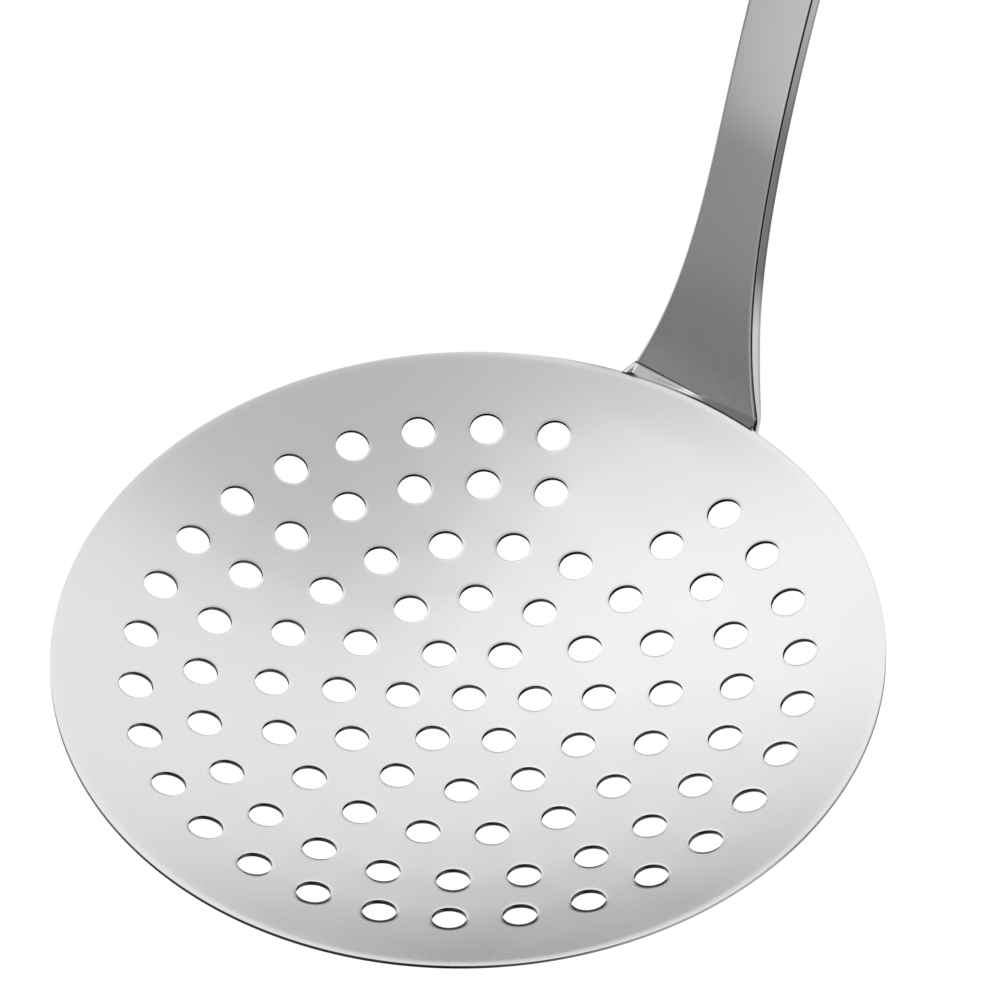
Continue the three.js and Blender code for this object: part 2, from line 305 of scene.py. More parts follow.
def perforated_dish():
    """A punched flat disc whose points are then moved onto the sphere that the dish is part of."""
    tree = bpy.data.node_groups.new("perforated dish", "GeometryNodeTree")
    tree.interface.new_socket("Geometry", in_out="OUTPUT", socket_type="NodeSocketGeometry")
    rim_names = ["Rim Radius", "Rim Edge", "Rim Band", "Lip Width", "Lip Drop", "Rim Line"]
    hole_names = ["Hole Radius", "Hole Edge", "Hole Margin", "Hole Roll", "Roll Drop", "Hole Burr"]
    ring_names = [f"Ring {number + 1} Radius" for number in range(len(RING_RADII))]
    sheet_names = ["Sheet", "Sphere Radius", "Sphere Height", "Blank Width", "Blank From"]
    for name in rim_names + hole_names + ring_names + sheet_names:
        tree.interface.new_socket(name, in_out="INPUT", socket_type="NodeSocketFloat")
    tree.interface.new_socket("Material", in_out="INPUT", socket_type="NodeSocketMaterial")
    size = tree.nodes.new("NodeGroupInput").outputs
    rim, rim_edge, band, lip, lip_drop, rim_line = (size[name] for name in rim_names)
    hole, hole_edge, margin, roll, roll_drop, burr = (size[name] for name in hole_names)
    sheet, sphere, sphere_top, blank_width, blank_from = (size[name] for name in sheet_names)
    place = add(tree, "GeometryNodeInputPosition").outputs[0]
    level = vectors(tree, "MULTIPLY", place, (1, 1, 0))
    from_axis = add(tree, "ShaderNodeVectorMath", {0: level}, operation="LENGTH").outputs["Value"]
    across = add(tree, "ShaderNodeSeparateXYZ", {0: place}).outputs

    # Centres of the holes: one in the middle, and rings with a hole, or on the last a gap, at +Y.
    points = [add(tree, "GeometryNodeMeshLine", {"Count": 1}).outputs[0]]
    for number, name in enumerate(ring_names):
        count = (number + 1) * HOLES_ADDED_PER_RING
        circle = {"Vertices": count, "Radius": size[name]}
        ring = add(tree, "GeometryNodeMeshCircle", circle).outputs[0]
        turn = math.pi / 2 + (math.pi / count if name == ring_names[-1] else 0)
        turned = add(tree, "GeometryNodeTransform", {"Geometry": ring, "Rotation": (0, 0, turn)})
        points.append(turned.outputs[0])
    near_foot = maths(tree, "GREATER_THAN", across["Y"], blank_from)
    aside = maths(tree, "ABSOLUTE", across["X"])
    narrow = maths(tree, "LESS_THAN", aside, total(tree, (0.5, blank_width)))
    centres = add(tree, "GeometryNodeDeleteGeometry", {
        "Geometry": joined(tree, *points), "Selection": maths(tree, "MULTIPLY", near_foot, narrow),
    }, domain="POINT").outputs[0]

    # Punching leaves the upper face rolled down round a hole, and a burr below it.
    upper = [(total(tree, (1, hole), (1, margin)), 0.0)]
    for share in ROLL_SHARES:
        drop = total(tree, ((1 - share) ** 2, roll_drop))
        upper.append((total(tree, (1, hole), (share, roll)), drop))
    for a in EDGE_TURNS:
        drop = total(tree, (1, roll_drop), (1 - math.cos(a), hole_edge))
        upper.append((total(tree, (1, hole), (1 - math.sin(a), hole_edge)), drop))
    lower = [(total(tree, (1, hole)), total(tree, (1, sheet), (1, burr), (-1, hole_edge)))]
    lower.append((total(tree, (1, hole), (1, hole_edge)), total(tree, (1, sheet), (1, burr))))
    lower.append((total(tree, (1, hole), (BURR_SHARE, roll)), total(tree, (1, sheet))))
    lower.append((total(tree, (1, hole), (1, margin)), total(tree, (1, sheet))))
    hole_collar = collar(tree, HOLE_SIDES, upper + lower)
    # Painted shade: the walls of the holes take the dark edge colour.
    wall_limit = total(tree, (1, hole), (HOLE_WALL_SHARE, hole_edge))
    hole_wall = maths(tree, "LESS_THAN", from_axis, wall_limit)
    above = maths(tree, "GREATER_THAN", across["Z"], total(tree, (-0.5, sheet)))
    away = maths(tree, "DIVIDE", total(tree, (1, from_axis), (-1, hole)), margin)
    outward = vectors(tree, "NORMALIZE", level)
    towards = maths(tree, "MAXIMUM", dot(tree, outward, LOW_SIDE), 0.0)
    nearness = maths(tree, "MULTIPLY", maths(tree, "SUBTRACT", 1.0, away), towards)
    hole_collar = stored(tree, hole_collar, "edge", hole_wall)
    hole_collar = stored(tree, hole_collar, "near", maths(tree, "MULTIPLY", nearness, above))

    # The upper face sinks slowly towards the rim's edge, and the outer wall stands upright. A row has
    # a unit of length, the units that it lies inwards and down, and its share of the lip's drop.
    lean = maths(tree, "DIVIDE", rim, sphere)
    rim_rows = [(band, share, 0, 0) for share in BAND_SHARES]
    rim_rows += [(lip, share, 0, (1 - share) ** 2) for share in LIP_SHARES]
    rim_rows += [(rim_edge, 1 - math.sin(a), 1 - math.cos(a), 1) for a in EDGE_TURNS]
    rim_band = []
    for face_depth, sign, rows in ((0.0, 1, rim_rows), (sheet, -1, rim_rows[::-1])):
        for unit, inward, down, sunk in rows:
            sinking = (max(sign, 0) * sunk, lip_drop)
            depth = total(tree, (1, face_depth), (sign * down, unit), sinking)
            trim = 0.0 if unit is band else maths(tree, "MULTIPLY", lean, depth)
            rim_band.append((total(tree, (1, rim), (-inward, unit), (-1, trim)), depth))
    # Painted shade: the rim's outer wall is darkened, and a dark line is painted along the rim in
    # front and on the right.
    leaning = maths(tree, "MULTIPLY", lean, across["Z"])
    upright = total(tree, (1, rim), (-RIM_WALL_SHARE, rim_edge), (1, leaning))
    rim_wall = maths(tree, "GREATER_THAN", from_axis, upright)
    line_from = total(tree, (1, rim), (-1, rim_line))
    zone = maths(tree, "MULTIPLY", maths(tree, "GREATER_THAN", from_axis, line_from), above)
    front_line = smooth_step(tree, dot(tree, outward, FRONT_LINE_SIDE), *FRONT_LINE_RANGE)
    right_line = smooth_step(tree, dot(tree, outward, RIGHT_LINE_SIDE), *RIGHT_LINE_RANGE)
    lined = maths(tree, "MAXIMUM", front_line, total(tree, (RIGHT_LINE_SHARE, right_line)))
    line = maths(tree, "MULTIPLY", lined, maths(tree, "MAXIMUM", zone, rim_wall))
    rim_painted_shade = maths(tree, "MAXIMUM", total(tree, (RIM_WALL_SHADE, rim_wall)), line)
    rim_collar = stored(tree, collar(tree, RIM_SIDES, rim_band), "edge", rim_painted_shade)

    # The plain sheet between the collars, once for each face.
    opening = outline_curve(tree, HOLE_SIDES, total(tree, (1, hole), (1, margin)))
    openings = spread_over(tree, centres, opening)
    border = outline_curve(tree, RIM_SIDES, total(tree, (1, rim), (-1, band)))
    face = add(tree, "GeometryNodeFillCurve", {"Curve": joined(tree, border, openings)}).outputs[0]
    drop = add(tree, "ShaderNodeCombineXYZ", {"Z": total(tree, (-1, sheet))}).outputs[0]
    under = add(tree, "GeometryNodeTransform", {"Geometry": face, "Translation": drop}).outputs[0]
    flat = joined(tree, face, under, rim_collar, spread_over(tree, centres, hole_collar))
    flat = add(tree, "GeometryNodeMergeByDistance", {
        "Geometry": flat, "Distance": MERGE_DISTANCE,
    }).outputs[0]

    # Painted shade: the holes on the low side of the dish get a dark line painted in the roll of
    # their outer edges.
    low = smooth_step(tree, dot(tree, place, LOW_SIDE), LOW_FROM, LOW_FULL)
    limit = maths(tree, "MULTIPLY_ADD", low, -LINE_REACH, 1.0)
    dark = add(tree, "ShaderNodeMapRange", {
        "Value": named(tree, "near"), "From Min": maths(tree, "SUBTRACT", limit, LINE_SOFTNESS),
        "From Max": maths(tree, "ADD", limit, LINE_SOFTNESS),
    }).outputs["Result"]
    flat = stored(tree, flat, "edge", maths(tree, "MAXIMUM", dark, named(tree, "edge")))
    flat = add(tree, "GeometryNodeRemoveAttribute", {"Geometry": flat, "Name": "near"}).outputs[0]

    # Pressed: each point keeps its depth, measured from the sphere towards its outside.
    reach = total(tree, (1, sphere), (-1, across["Z"]))
    squared = maths(tree, "MULTIPLY", sphere, sphere)
    squared_level = maths(tree, "MULTIPLY", from_axis, from_axis)
    fall = maths(tree, "SQRT", maths(tree, "SUBTRACT", squared, squared_level))
    spoke = add(tree, "ShaderNodeCombineXYZ", {
        "X": across["X"], "Y": across["Y"], "Z": total(tree, (-1, fall)),
    }).outputs[0]
    spoke = scaled(tree, spoke, maths(tree, "DIVIDE", reach, sphere))
    middle = add(tree, "ShaderNodeCombineXYZ", {"Z": sphere_top}).outputs[0]
    pressed = add(tree, "GeometryNodeSetPosition", {
        "Geometry": flat, "Position": vectors(tree, "ADD", spoke, middle),
    }).outputs[0]
    whole = add(tree, "GeometryNodeRealizeInstances", {"Geometry": pressed}).outputs[0]
    dressed = add(tree, "GeometryNodeSetMaterial", {
        "Geometry": whole, "Material": size["Material"],
    }).outputs[0]
    add(tree, "NodeGroupOutput", {0: dressed})
    return tree


def made_by(name, tree, sizes):
    """A new object with the mesh that a geometry tree gives for these sizes."""
    piece = bpy.data.objects.new(name, bpy.data.meshes.new(name))
    bpy.context.scene.collection.objects.link(piece)
    modifier = piece.modifiers.new(name, "NODES")
    modifier.node_group = tree
    for socket in tree.interface.items_tree:
        if socket.in_out == "INPUT":
            modifier[socket.identifier] = sizes[socket.name]
    return plain(piece)


def plain(piece):
    """Turns what a piece's modifiers make into its own mesh, and takes the modifiers off."""
    result = piece.evaluated_get(bpy.context.evaluated_depsgraph_get())
    mesh = bpy.data.meshes.new_from_object(result)
    piece.modifiers.clear()
    piece.data = mesh
    return piece


def finish_mesh(piece, place, sharp_angle):
    """Moves a mesh to its place, faces it outwards and shades it smooth up to an angle."""
    mesh = piece.data
    mesh.transform(place)
    shape = bmesh.new()
    shape.from_mesh(mesh)
    bmesh.ops.remove_doubles(shape, verts=shape.verts, dist=MERGE_DISTANCE)
    bmesh.ops.recalc_face_normals(shape, faces=shape.faces)
    shape.to_mesh(mesh)
    shape.free()
    mesh.shade_smooth()
    mesh.set_sharp_from_angle(angle=sharp_angle)


# The dish's edge colour is painted shade, laid on the hole walls, the rim's outer wall and the dark
# lines.
dish_steel = steel(
    "satin dish steel", SATIN_STEEL, DISH_PAINTED_SHADE, DISH_ROUGHNESS, DISH_GRAIN, DISH_RELIEF,
)
dish_sizes = {
    "Rim Radius": RIM_RADIUS - RIM_TRIM, "Rim Edge": RIM_EDGE, "Rim Band": RIM_BAND,
    "Lip Width": LIP_WIDTH, "Lip Drop": LIP_DROP, "Rim Line": RIM_LINE,
    "Hole Radius": HOLE_RADIUS, "Hole Edge": HOLE_EDGE, "Hole Margin": HOLE_MARGIN,
    "Hole Roll": HOLE_ROLL, "Roll Drop": ROLL_DROP, "Hole Burr": HOLE_BURR,
    "Sheet": SHEET, "Sphere Radius": sphere_radius, "Sphere Height": sphere_height,
    "Blank Width": BLANK_WIDTH, "Blank From": BLANK_FROM, "Material": dish_steel,
}
for number, radius in enumerate(RING_RADII):
    dish_sizes[f"Ring {number + 1} Radius"] = radius
dish = made_by("dish", perforated_dish(), dish_sizes)
finish_mesh(dish, dish_frame, DISH_SHARP)
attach(dish, "root")
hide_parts("bowl")

# Neck: a solid flat bar, forged out to a wide foot that stands against the rim, with a straight
# stem and a slow bend up to the grip. Its front and back are brushed, its sides and the soft chamfers
# along its edges are polished, and a thinner tang at its end goes into the hollow grip.
STEM_ANGLE = math.radians(69.7)
STEM_LENGTH = 40 * MM
BEND_RADIUS = 265 * MM
BEND_ANGLE = math.radians(15)
FOOT_WIDTH = 21.6 * MM
FOOT_THICKNESS = 1.9 * MM
FOOT_DROP = 3.2 * MM
FLARE_LENGTH = 60 * MM
FLARE_POWER = 4
THINNING_POWER = 12
NECK_WIDTH = 9.8 * MM
NECK_THICKNESS = 3 * MM
NECK_EDGE = 0.33 * MM
FOOT_EDGE = 0.25 * MM
EDGE_SOFTNESS = 0.3
LEAST_EDGE = 0.1 * MM
CORNER_ARCS = ((0, 22.5, 45), (45, 67.5, 90))
FACE_CROWN = 0.06 * MM
FRONT_SHARES = (0.94, 0.5, 0, -0.5, -0.94)
BACK_SHARES = (-0.94, -0.4, 0, 0.4, 0.94)
SIDE_SHARES = (0.1, 0.66, 0.8)
POLISHED_CORNER = [1, 1, 1, 1, 0, 0]
POLISHED_SIDE = [1, 1, 0]
SWELL_LENGTH = 170 * MM
GRIP_WIDTH = 19 * MM
GRIP_THICKNESS = 7.5 * MM
GRIP_EDGE = 1.6 * MM
SHELL_WALL = 0.8 * MM
TANG_LENGTH = 14 * MM
TANG_CLEARANCE = 0.3 * MM
FOOT_CHAMFER = 0.25 * MM
FOOT_CLEARANCE = 0.02 * MM
NECK_STATIONS = 90
NECK_SHARP = math.radians(35)
HANDLE_STEEL = (0.37, 0.37, 0.37)
POLISHED_STEEL = (0.55, 0.55, 0.55)
HANDLE_GRAIN = 5200.0
HANDLE_STRETCH = (1, 0.03, 1)
HANDLE_RELIEF = 0.001 * MM
HANDLE_ROUGHNESS = (0.2, 0.22)
HANDLE_BRUSHING = 0.8
EDGE_GLOSS = 0.5

neck_length = STEM_LENGTH + BEND_RADIUS * BEND_ANGLE
foot_y = RIM_RADIUS + FOOT_CLEARANCE - rim_lower_edge / math.tan(STEM_ANGLE)
foot_bottom = rim_lower_edge - FOOT_DROP


def blend(low, high, value):
    """0 below low, 1 above high, and a smooth step between them."""
    share = min(max((value - low) / (high - low), 0), 1)
    return share * share * (3 - 2 * share)


def front_face(run):
    """(y, z, angle) of the handle's front in the dish's frame, at a run along it from the rim."""
    straight = min(run, STEM_LENGTH)
    angle = STEM_ANGLE - max(run - STEM_LENGTH, 0) / BEND_RADIUS
    y = foot_y + straight * math.cos(STEM_ANGLE)
    y += BEND_RADIUS * (math.sin(STEM_ANGLE) - math.sin(angle))
    z = straight * math.sin(STEM_ANGLE) + BEND_RADIUS * (math.cos(angle) - math.cos(STEM_ANGLE))
    return y, z, angle


def handle_size(run):
    """(width, thickness, edge width) at a run along the handle: a flare, then a swell."""
    nearness = min(max(1 - run / FLARE_LENGTH, 0), 1)
    flare, thinning = nearness ** FLARE_POWER, nearness ** THINNING_POWER
    swell = blend(FLARE_LENGTH, FLARE_LENGTH + SWELL_LENGTH, run)
    width = NECK_WIDTH + (GRIP_WIDTH - NECK_WIDTH) * swell + (FOOT_WIDTH - NECK_WIDTH) * flare
    thickness = NECK_THICKNESS + (GRIP_THICKNESS - NECK_THICKNESS) * swell
    thickness -= (NECK_THICKNESS - FOOT_THICKNESS) * thinning
    return width, thickness, NECK_EDGE + (GRIP_EDGE - NECK_EDGE) * swell + FOOT_EDGE * thinning


def bar_section(width, thickness, edge, inset=0, finish=0.0):
    """Points (x, depth) round a bar; depth 0 is the middle of the front. An inset leaves a wall.

    Its edges are broken by a soft chamfer and its front is a little crowned. At the grip, where the
    finish is 1, the edges are round and the front is flat.
    """
    half = width / 2 - inset
    edge = max(edge - inset, LEAST_EDGE)
    soft = edge * (EDGE_SOFTNESS + (1 - EDGE_SOFTNESS) * finish)
    crown = FACE_CROWN * (1 - finish)
    front, back = inset + crown, thickness - inset
    near_face, near_side = (half - edge, soft), (half - soft, edge)
    points = []
    corners = ((0, 1, front, 1), (90, -1, front, 1), (180, -1, back, -1), (270, 1, back, -1))
    for start, side, level, inward in corners:
        centres = (near_side, near_face) if start in (0, 180) else (near_face, near_side)
        for (x, depth), arc in zip(centres, CORNER_ARCS):
            for turn in arc:
                angle = math.radians(start + turn)
                turned_depth = level + inward * depth - soft * math.sin(angle)
                points.append((side * x + soft * math.cos(angle), turned_depth))
        points += bar_side(start, half, front, back, edge, crown)
    return points


def bar_side(start, half, front, back, edge, crown):
    """Points along the straight side after a corner, close to its ends and in its middle."""
    if start in (90, 270):
        left = [(-half, front + edge + (back - front - 2 * edge) * share) for share in SIDE_SHARES]
        return left if start == 90 else [(half, depth) for x, depth in reversed(left)]
    reach = half - edge
    if start == 180:
        return [(reach * share, back) for share in BACK_SHARES]
    return [(reach * share, front - crown * (1 - share * share)) for share in FRONT_SHARES]


def skin(rings):
    """Points and faces of a closed skin through rings that have equal numbers of points."""
    count = len(rings[0])
    faces = [tuple(range(count))]
    for ring in range(len(rings) - 1):
        for corner in range(count):
            after = (corner + 1) % count
            near, far = ring * count, (ring + 1) * count
            faces.append((near + corner, near + after, far + after, far + corner))
    faces.append(tuple(range((len(rings) - 1) * count, len(rings) * count)))
    return [point for ring in rings for point in ring], faces


def new_piece(name, points, faces, material):
    """A new object with a mesh of these points and faces."""
    mesh = bpy.data.meshes.new(name)
    mesh.from_pydata(points, [], faces)
    mesh.materials.append(material)
    piece = bpy.data.objects.new(name, mesh)
    bpy.context.scene.collection.objects.link(piece)
    return piece


def bar_point(run, x, depth):
    """A point of the handle in the dish's frame, at a depth behind the front."""
    y, z, angle = front_face(run)
    return Vector((x, y + depth * math.sin(angle), z - depth * math.cos(angle)))


def foot_ring(height, inset):
    """A level ring round the foot, at a height in the dish's frame."""
    run = height / math.sin(STEM_ANGLE)
    return [
        bar_point((height + depth * math.cos(STEM_ANGLE)) / math.sin(STEM_ANGLE), x, depth)
        for x, depth in bar_section(*handle_size(run), inset)
    ]


neck_end_y, neck_end_z, grip_angle = front_face(neck_length)
grip_in_dish = Matrix.Translation((0, neck_end_y, neck_end_z)) @ Matrix.Rotation(grip_angle, 4, "X")
neck_rings = [foot_ring(foot_bottom, FOOT_CHAMFER), foot_ring(foot_bottom + FOOT_CHAMFER, 0)]
first_run = FOOT_THICKNESS / math.tan(STEM_ANGLE) + foot_bottom / math.sin(STEM_ANGLE)
first_run += 2 * FOOT_CHAMFER
for station in range(NECK_STATIONS + 1):
    run = first_run + (neck_length - first_run) * station / NECK_STATIONS
    finish = blend(FLARE_LENGTH, neck_length, run)
    section = bar_section(*handle_size(run), finish=finish)
    neck_rings.append([bar_point(run, x, depth) for x, depth in section])
tang = bar_section(*handle_size(neck_length), SHELL_WALL + TANG_CLEARANCE, finish=1.0)
for reach in (0, TANG_LENGTH):
    neck_rings.append([grip_in_dish @ Vector((x, reach, -depth)) for x, depth in tang])

handle_steel = steel(
    "satin handle steel", HANDLE_STEEL, POLISHED_STEEL, HANDLE_ROUGHNESS, HANDLE_GRAIN, HANDLE_RELIEF,
    stretch=HANDLE_STRETCH, brushed=HANDLE_BRUSHING, edge_gloss=EDGE_GLOSS,
)


def polish_sides(piece):
    """Writes the edge mask that the steel reads: 1 on the sides and front edges of each section."""
    front = POLISHED_CORNER + [0] * len(FRONT_SHARES) + POLISHED_CORNER[::-1]
    back = [0] * (2 * len(POLISHED_CORNER) + len(BACK_SHARES))
    section = front + POLISHED_SIDE + back + POLISHED_SIDE[::-1]
    mask = piece.data.attributes.new("edge", "FLOAT", "POINT")
    for number in range(len(piece.data.vertices)):
        mask.data[number].value = section[number % len(section)]


neck = new_piece("neck", *skin(neck_rings), handle_steel)
polish_sides(neck)
finish_mesh(neck, dish_frame, NECK_SHARP)
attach(neck, "root")
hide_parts("handle_neck")

# Weld: a bead of weld metal that joins the foot to the rim, ground hollow by hand and polished. It is
# tall at the left of the foot, where it runs out to a short tail on the rim, and falls away to the
# right. Painted shade darkens a row along its upper edge on the left, a line along its slope and its
# toe, and its slope more and more towards the right.
WELD_LEFT = -10.25 * MM
WELD_RIGHT = 10.5 * MM
LEFT_TAIL = 1.1 * MM
RIGHT_TAIL = 0.5 * MM
WELD_HIGH = 0.95 * MM
WELD_LOW = -0.6 * MM
WELD_FALL = 1.2
HOLLOW_REACH = 0.35
HOLLOW_HEIGHT = 0.28
WELD_DEPTH = 0.4 * MM
WELD_TOE = 0.45 * MM
TOE_LEFT = 0.14 * MM
TOE_RIGHT = 0.15 * MM
TOE_BREAK = 0.02 * MM
NOTCH_PLACE = -9.7 * MM
NOTCH_WIDTH = 1.1 * MM
NOTCH_HEIGHT = 0.35 * MM
WELD_PROUD = 0.05 * MM
# Painted shade on the weld: a dark row along its upper edge, a dark toe and a darker crease line.
SHADE_ROW_WIDTH = 0.24 * MM
UPPER_SHADE_END = 3 * MM
SHADE_ROW_LIMIT = 0.3
TOE_FAINT = 0.3
TOE_DARK = (-4 * MM, 1 * MM)
CREASE_SHADE = 0.45
CREASE_ROW = 3
CREASE_FROM = (-8 * MM, -5 * MM)
CREASE_TO = (1 * MM, 5 * MM)
SLOPE_ROWS = 7
WELD_STATIONS = 80
WELD_SHARP = math.radians(50)
WELD_STEEL = (0.8, 0.8, 0.8)
# Painted shade: how much the slope darkens towards the right, and the colour of the weld's shade.
RIGHT_SHADE = 0.1
WELD_PAINTED_SHADE = (0.04, 0.04, 0.04)
WELD_GRAIN = 3000.0
WELD_STRETCH = (0.2, 1, 1)
WELD_RELIEF = 0.004 * MM
WELD_ROUGHNESS = (0.16, 0.24)


def weld_share(x):
    """0 at the left end of the weld's foot, 1 at its right end."""
    return min(max((x - WELD_LEFT) / (WELD_RIGHT - WELD_LEFT), 0), 1)


def weld_ring(x):
    """A section of the weld: the hollow slope from the foot to the rim, then round under it."""
    share = weld_share(x)
    tail = max((WELD_LEFT - x) / LEFT_TAIL, (x - WELD_RIGHT) / RIGHT_TAIL, 0)
    high = WELD_HIGH + (WELD_LOW - WELD_HIGH) * share ** WELD_FALL
    notch = NOTCH_HEIGHT * max(1 - abs(x - NOTCH_PLACE) / NOTCH_WIDTH, 0)
    toe_height = TOE_LEFT + (TOE_RIGHT - TOE_LEFT) * share + notch
    toe = Vector((x, math.sqrt((RIM_RADIUS - WELD_TOE) ** 2 - x ** 2), toe_height * (1 - tail)))
    foot = Vector((x, foot_y + high / math.tan(STEM_ANGLE) + WELD_PROUD, high)).lerp(toe, tail)
    hollow = toe + Vector((0, HOLLOW_REACH * (foot.y - toe.y), HOLLOW_HEIGHT * (foot.z - toe.z)))
    shade_row = min(SHADE_ROW_WIDTH / max((foot - toe).length, SHADE_ROW_WIDTH), SHADE_ROW_LIMIT)
    first = shade_row / 2
    steps = [0] + [first + (1 - first) * row / SLOPE_ROWS for row in range(SLOPE_ROWS + 1)]
    slope = [foot.lerp(hollow, step).lerp(hollow.lerp(toe, step), step) for step in steps]
    under_toe = Vector((x, toe.y, -WELD_DEPTH))
    under_foot = Vector((x, max(foot.y, toe.y + WELD_PROUD), min(high, 0) - WELD_DEPTH))
    return slope + [toe - Vector((0, 0, TOE_BREAK)), under_toe, under_foot]


def painted_weld_shade(x):
    """The edge mask of a section, all painted shade: a dark upper row that fades out, a slope darker
    towards the right with a darker crease line, and a toe that is dark at the notch and on the right.
    """
    dull_and_shade = 1 if x > WELD_RIGHT else RIGHT_SHADE * weld_share(x)
    upper = dull_and_shade + (1 - dull_and_shade) * (1 - blend(0, UPPER_SHADE_END, x)) * (x > WELD_LEFT)
    slope = [dull_and_shade] * SLOPE_ROWS
    crease_shade = CREASE_SHADE * blend(*CREASE_FROM, x) * (1 - blend(*CREASE_TO, x))
    slope[CREASE_ROW] += crease_shade * (1 - dull_and_shade)
    in_notch = 1 - blend(NOTCH_PLACE, NOTCH_PLACE + NOTCH_WIDTH, x)
    toe = TOE_FAINT + (1 - TOE_FAINT) * max(blend(*TOE_DARK, x), in_notch)
    return [upper, upper] + slope + [toe, toe, toe]


weld_start, weld_end = WELD_LEFT - LEFT_TAIL, WELD_RIGHT + RIGHT_TAIL
weld_step = (weld_end - weld_start) / WELD_STATIONS
weld_places = [weld_start + weld_step * place for place in range(WELD_STATIONS + 1)]
# The weld's edge colour is painted shade, laid on by its mask below.
weld_steel = steel(
    "polished weld steel", WELD_STEEL, WELD_PAINTED_SHADE, WELD_ROUGHNESS, WELD_GRAIN, WELD_RELIEF,
    stretch=WELD_STRETCH,
)
weld = new_piece("weld", *skin([weld_ring(x) for x in weld_places]), weld_steel)
weld_mask = weld.data.attributes.new("edge", "FLOAT", "POINT")
marks = [mark for x in weld_places for mark in painted_weld_shade(x)]
for number, mark in enumerate(marks):
    weld_mask.data[number].value = mark
finish_mesh(weld, dish_frame, WELD_SHARP)
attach(weld, "root")
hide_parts("foot_weld")

# Grip: two pressed shells of stainless sheet, a shallow front one and a deeper back one, welded along
# their seam over the tang of the neck. The outside is satin, with rounded edges and a round end, and
# an oval is cut through both shells near the end.
GRIP_LENGTH = 180 * MM
SEAM_DEPTH = 1.9 * MM
SEAM_GAP = 0.12 * MM
MOUTH_GAP = 0.06 * MM
EYE_WIDTH = 8 * MM
EYE_LENGTH = 18 * MM
EYE_WALL = 0.8 * MM
EYE_MARGIN = 6 * MM
EYE_GAP = 0.05 * MM
EYE_SIDES = 33
FLAT_MARGIN = 1.15
LEAST_GRIP_EDGE = 0.2 * MM
GRIP_TURNS = [math.radians(angle) for angle in (0, 15, 30, 45, 60, 75, 90)]
GRIP_STATIONS = 60
GRIP_SHARP = math.radians(35)
END_SIDES = 40

grip_frame = dish_frame @ grip_in_dish
end_radius = handle_size(neck_length + GRIP_LENGTH)[0] / 2


def grip_edge(y, inset):
    """The radius of the grip's round edges at a distance along it."""
    return max(handle_size(neck_length + y)[2] - inset, LEAST_GRIP_EDGE)


def grip_side(start, inset, inward):
    """Points (x, y) up the grip's right side and round its end, some edge radii inwards of it."""
    points = []
    top = GRIP_LENGTH - end_radius
    for station in range(GRIP_STATIONS + 1):
        y = start + (top - start) * station / GRIP_STATIONS
        half = handle_size(neck_length + y)[0] / 2
        points.append((half - inset - inward * grip_edge(y, inset), y))
    radius = end_radius - inset - inward * grip_edge(GRIP_LENGTH, inset)
    for step in range(1, END_SIDES + 1):
        angle = math.pi / 2 * step / END_SIDES
        points.append((radius * math.cos(angle), top + radius * math.sin(angle)))
    return points


def grip_body(name, start, inset):
    """A closed solid of the grip's outside, or of its hollow if it is inset by the shells' wall."""
    half_rows = [(FLAT_MARGIN, 0)] + [(1 - math.sin(a), 1 - math.cos(a)) for a in GRIP_TURNS]
    rows = [(*row, False) for row in half_rows] + [(*row, True) for row in reversed(half_rows)]
    points, faces = [], []
    for inward, sunk, at_back in rows:
        right = grip_side(start, inset, inward)
        for x, y in right + [(-x, y) for x, y in reversed(right[:-1])]:
            sinking = sunk * grip_edge(y, inset)
            depth = inset + sinking
            if at_back:
                depth = handle_size(neck_length + y)[1] - inset - sinking
            points.append(Vector((x, y, -depth)))
    count = len(points) // len(rows)
    for row in range(len(rows) - 1):
        for corner in range(count - 1):
            near, far = row * count + corner, (row + 1) * count + corner
            faces.append((near, near + 1, far + 1, far))
    for base in (0, (len(rows) - 1) * count):
        for corner in range(count // 2):
            opposite = count - 1 - corner
            corners = [base + corner, base + corner + 1, base + opposite - 1, base + opposite]
            faces.append(tuple(dict.fromkeys(corners)))
    right_end = [row * count for row in range(len(rows))]
    left_end = [row * count + count - 1 for row in range(len(rows))]
    faces.append(tuple(right_end + left_end[::-1]))
    body = new_piece(name, points, faces, handle_steel)
    finish_mesh(body, Matrix.Identity(4), GRIP_SHARP)
    return body


def eye_oval(margin):
    """Points (x, y) round the hanging hole, with a margin outside it."""
    radius = EYE_WIDTH / 2 + margin
    reach = (EYE_LENGTH - EYE_WIDTH) / 2
    centre = GRIP_LENGTH - EYE_MARGIN - EYE_LENGTH / 2
    points = []
    for step in range(2 * EYE_SIDES):
        half, share = divmod(step, EYE_SIDES)
        angle = math.pi * (half + share / (EYE_SIDES - 1))
        middle = centre + (reach if half == 0 else -reach)
        points.append((radius * math.cos(angle), middle + radius * math.sin(angle)))
    return points


def prism(name, outline, low, high):
    """A closed solid from a flat outline between two heights."""
    rings = [[Vector((x, y, height)) for x, y in outline] for height in (low, high)]
    solid = new_piece(name, *skin(rings), handle_steel)
    finish_mesh(solid, Matrix.Identity(4), GRIP_SHARP)
    return solid


def cut(piece, tool, operation):
    """Cuts a piece with another solid, which is then thrown away."""
    modifier = piece.modifiers.new(operation, "BOOLEAN")
    modifier.object = tool
    modifier.operation = operation
    modifier.solver = "EXACT"
    plain(piece)
    bpy.data.objects.remove(tool)


